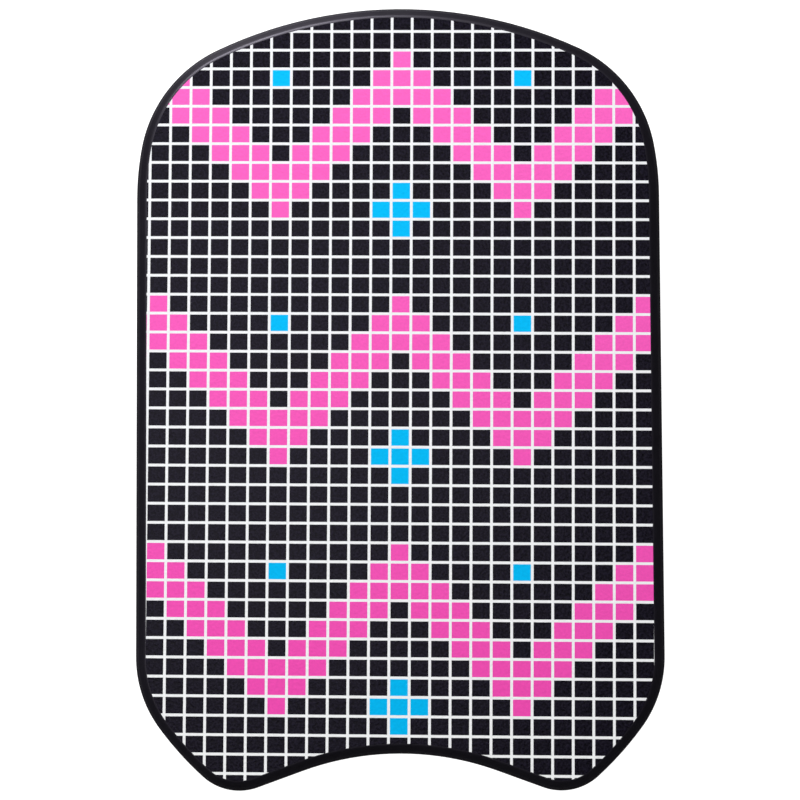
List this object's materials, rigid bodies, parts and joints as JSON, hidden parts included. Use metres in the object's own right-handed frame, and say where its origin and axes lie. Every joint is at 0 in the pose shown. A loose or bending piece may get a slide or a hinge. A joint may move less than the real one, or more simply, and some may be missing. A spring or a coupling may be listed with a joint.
{
  "type": "kickboard float",
  "caption": "Flat laminated foam kickboard: rounded nose, straight sides, lobed tail around a shallow arch, bevelled edges and a gridded block print on its faces.",
  "frame": {"origin": "centre of the bounding box on the back face, which the board lies on", "axes": "+Z through the thickness and out of the front face, +Y along the length towards the nose, +X across the width"},
  "size_m": [0.29, 0.432, 0.036],
  "materials": {
    "print_film": "satin printed film with a fine foam grain showing through",
    "face_foam": "smooth matt closed-cell foam skin",
    "core_foam": "smooth matt cut foam with a fine cell",
    "bond_film": "thin hot-melt web"
  },
  "bodies": {
    "root": {"back_print_film": "print_film", "back_face_sheet": "face_foam", "back_bond_film": "bond_film", "core_lower_ply": "core_foam", "core_bond_film": "bond_film", "core_upper_ply": "core_foam", "front_bond_film": "bond_film", "front_face_sheet": "face_foam", "front_print_film": "print_film"}
  },
  "joints": []
}
